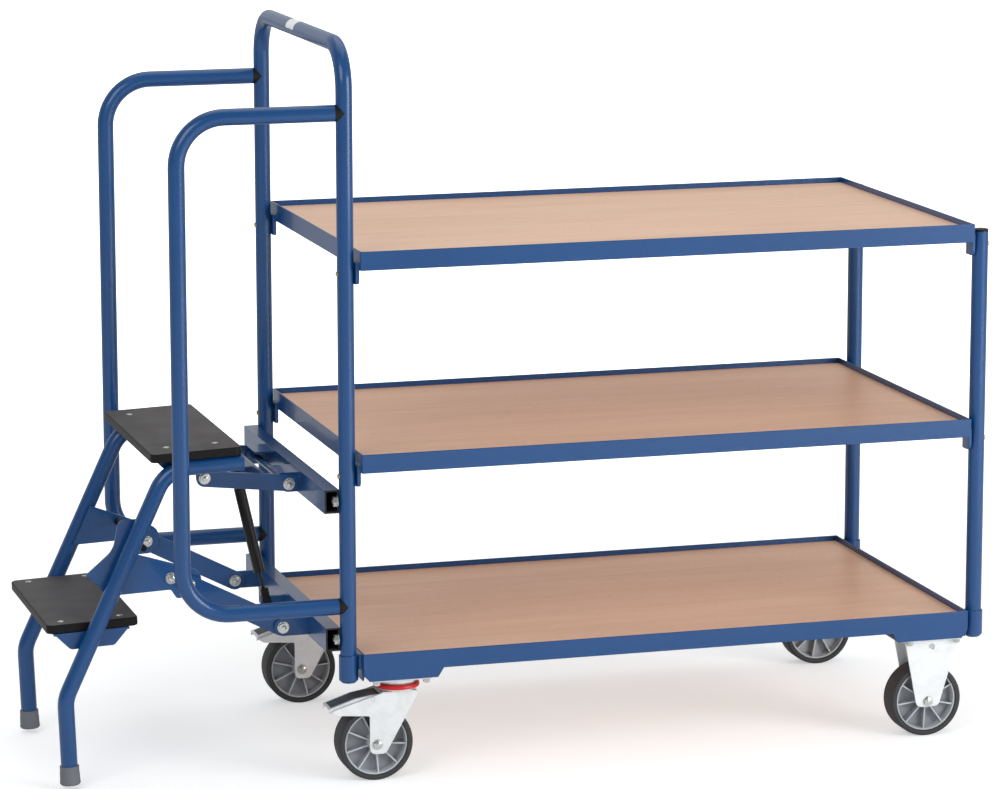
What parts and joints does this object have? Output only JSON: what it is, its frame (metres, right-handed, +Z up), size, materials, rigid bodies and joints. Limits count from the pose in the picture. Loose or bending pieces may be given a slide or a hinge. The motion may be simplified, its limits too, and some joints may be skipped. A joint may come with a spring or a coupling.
{
  "type": "order picking trolley",
  "caption": "Tubular steel trolley with boarded trays, a push handle, handrails and a spring-raised step ladder, on swivel and fixed castors.",
  "frame": {"origin": "on the floor below the middle of the outer box", "axes": "+X from the ladder to the far end, +Y to the far side in the picture, +Z up"},
  "size_m": [1.6358, 0.64, 1.261],
  "materials": {
    "blue_paint": "glossy blue powder coat on steel tube and sheet",
    "beech_board": "satin beech-faced board",
    "step_covering": "dark coated plywood, matt",
    "black_plastic": "black moulded plastic",
    "black_steel": "black painted steel",
    "zinc_plate": "bright zinc-plated steel",
    "grey_tyre": "dark grey solid rubber",
    "grey_rim": "grey moulded plastic",
    "grey_foot": "grey rubber"
  },
  "bodies": {
    "trolley": {"board_bottom": "beech_board", "board_middle": "beech_board", "board_top": "beech_board", "castor_plate_far": "zinc_plate", "castor_plate_near": "zinc_plate", "cross_tube_lower": "blue_paint", "cross_tube_upper": "blue_paint", "fixed_axle_far": "zinc_plate", "fixed_axle_near": "zinc_plate", "fixed_fork_far": "zinc_plate", "fixed_fork_near": "zinc_plate", "handrail_far": "blue_paint", "handrail_near": "blue_paint", "lower_arm_bolt_far": "zinc_plate", "lower_arm_bolt_near": "zinc_plate", "post_plug_far": "black_plastic", "post_plug_near": "black_plastic", "push_frame": "blue_paint", "right_post_far": "blue_paint", "right_post_near": "blue_paint", "saddle_bottom_far": "black_plastic", "saddle_bottom_near": "black_plastic", "saddle_top_far": "black_plastic", "saddle_top_near": "black_plastic", "tray_bottom": "blue_paint", "tray_middle": "blue_paint", "tray_top": "blue_paint", "upper_arm_axle": "zinc_plate"},
    "castor_far": {"castor_axle_far": "zinc_plate", "castor_fork_far": "zinc_plate"},
    "castor_near": {"castor_axle_near": "zinc_plate", "castor_fork_near": "zinc_plate"},
    "gas_cylinder": {"gas_spring_cylinder": "black_steel"},
    "gas_rod": {"gas_spring_rod": "black_steel"},
    "ladder": {"gusset_far": "blue_paint", "gusset_near": "blue_paint", "ladder_axle": "zinc_plate", "ladder_bolt_far": "zinc_plate", "ladder_bolt_near": "zinc_plate", "ladder_foot_far": "grey_foot", "ladder_foot_near": "grey_foot", "ladder_side_far": "blue_paint", "ladder_side_near": "blue_paint", "lower_carrier": "blue_paint", "lower_tread": "step_covering", "upper_carrier": "blue_paint", "upper_tread": "step_covering"},
    "lower_arm_far": {"lower_arm_far": "blue_paint"},
    "lower_arm_near": {"lower_arm_near": "blue_paint"},
    "pedal_far": {"brake_pedal_far": "zinc_plate"},
    "pedal_near": {"brake_pedal_near": "zinc_plate"},
    "upper_arm": {"upper_arm": "blue_paint"},
    "wheel_fixed_far": {"rim_fixed_far": "grey_rim", "tyre_fixed_far": "grey_tyre"},
    "wheel_fixed_near": {"rim_fixed_near": "grey_rim", "tyre_fixed_near": "grey_tyre"},
    "wheel_swivel_far": {"rim_swivel_far": "grey_rim", "tyre_swivel_far": "grey_tyre"},
    "wheel_swivel_near": {"rim_swivel_near": "grey_rim", "tyre_swivel_near": "grey_tyre"}
  },
  "joints": [
    {"name": "swivel_near", "type": "hinge", "parent": "trolley", "child": "castor_near", "pos_m": [-0.23862, -0.268, 0.16], "axis": [0, 0, 1], "continuous": true},
    {"name": "spin_swivel_near", "type": "hinge", "parent": "castor_near", "child": "wheel_swivel_near", "pos_m": [-0.27962, -0.268, 0.06444], "axis": [0, 1, 0], "continuous": true},
    {"name": "brake_near", "type": "hinge", "parent": "castor_near", "child": "pedal_near", "pos_m": [-0.28662, -0.268, 0.1434], "axis": [0, -1, 0], "range_deg": [0, 10]},
    {"name": "spin_fixed_near", "type": "hinge", "parent": "trolley", "child": "wheel_fixed_near", "pos_m": [0.71838, -0.268, 0.06444], "axis": [0, 1, 0], "continuous": true},
    {"name": "swivel_far", "type": "hinge", "parent": "trolley", "child": "castor_far", "pos_m": [-0.23862, 0.268, 0.16], "axis": [0, 0, 1], "continuous": true},
    {"name": "spin_swivel_far", "type": "hinge", "parent": "castor_far", "child": "wheel_swivel_far", "pos_m": [-0.27962, 0.268, 0.06444], "axis": [0, 1, 0], "continuous": true},
    {"name": "brake_far", "type": "hinge", "parent": "castor_far", "child": "pedal_far", "pos_m": [-0.28662, 0.268, 0.1434], "axis": [0, -1, 0], "range_deg": [0, 10]},
    {"name": "spin_fixed_far", "type": "hinge", "parent": "trolley", "child": "wheel_fixed_far", "pos_m": [0.71838, 0.268, 0.06444], "axis": [0, 1, 0], "continuous": true},
    {"name": "ladder_lower", "type": "hinge", "parent": "trolley", "child": "upper_arm", "pos_m": [-0.38912, 0, 0.488], "axis": [0, -1, 0], "range_deg": [0, 6.9], "stiffness_Nm_per_rad": 22, "springref_deg": -45.84},
    {"name": "ladder_on_upper_arm", "type": "hinge", "parent": "upper_arm", "child": "ladder", "pos_m": [-0.53562, 0, 0.5065], "axis": [0, -1, 0], "range_deg": [-9.3, 0]},
    {"name": "lower_arm_near_pivot", "type": "hinge", "parent": "trolley", "child": "lower_arm_near", "pos_m": [-0.41512, -0.18, 0.252], "axis": [0, -1, 0], "range_deg": [0, 6]},
    {"name": "lower_arm_far_pivot", "type": "hinge", "parent": "trolley", "child": "lower_arm_far", "pos_m": [-0.41512, 0.18, 0.252], "axis": [0, -1, 0], "range_deg": [0, 6]},
    {"name": "gas_spring_foot", "type": "hinge", "parent": "trolley", "child": "gas_rod", "pos_m": [-0.39962, 0, 0.252], "axis": [0, -1, 0], "range_deg": [-1, 1]},
    {"name": "gas_spring_stroke", "type": "slide", "parent": "gas_rod", "child": "gas_cylinder", "axis": [-0.2176, 0, 0.976], "range_m": [-0.0085, 0]}
  ],
  "couplings": [
    {"joint": "ladder_on_upper_arm", "follows": "ladder_lower", "ratio": -1.3038},
    {"joint": "lower_arm_near_pivot", "follows": "ladder_lower", "ratio": 0.8276},
    {"joint": "lower_arm_far_pivot", "follows": "ladder_lower", "ratio": 0.8276},
    {"joint": "gas_spring_foot", "follows": "ladder_lower", "ratio": 0.02459},
    {"joint": "gas_spring_stroke", "follows": "ladder_lower", "m_per_rad": -0.06191}
  ]
}
